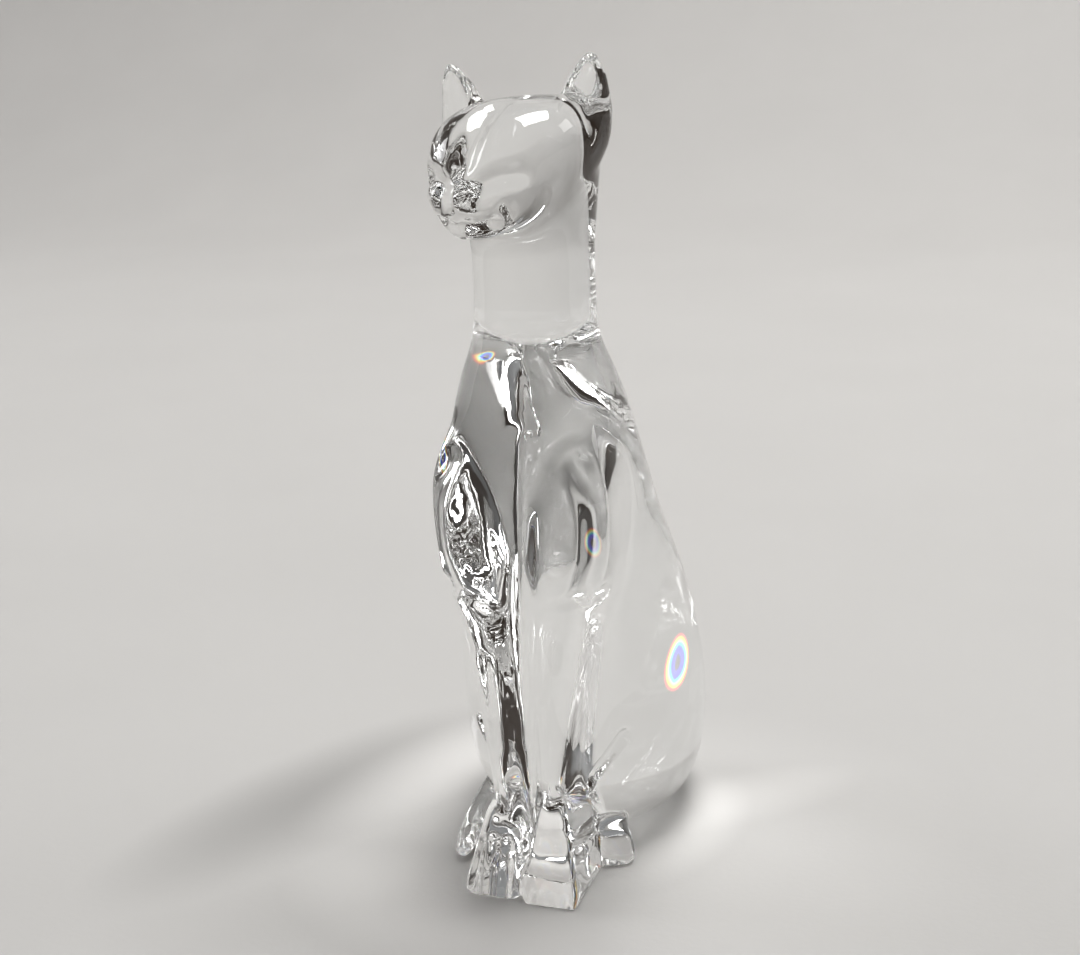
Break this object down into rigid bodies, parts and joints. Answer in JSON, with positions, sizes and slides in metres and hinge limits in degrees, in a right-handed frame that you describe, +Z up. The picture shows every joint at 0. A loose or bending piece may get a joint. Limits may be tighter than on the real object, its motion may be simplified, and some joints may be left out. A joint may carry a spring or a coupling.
{
  "type": "crystal cat figurine",
  "caption": "Clear crystal figurine of a cat sitting upright, with pointed ears, straight forelegs and its tail laid round one side, resting on a flat polished base.",
  "frame": {"origin": "on the table surface, under the middle of the figure's footprint", "axes": "+Z up along the seated body, -Y towards the forepaws and the way the body faces, +X to the cat's own left"},
  "size_m": [0.0504, 0.0811, 0.16],
  "materials": {
    "clear_crystal": "fire-polished clear lead crystal, mirror smooth, no tint"
  },
  "bodies": {
    "root": {"crystal_cat": "clear_crystal"}
  },
  "joints": []
}
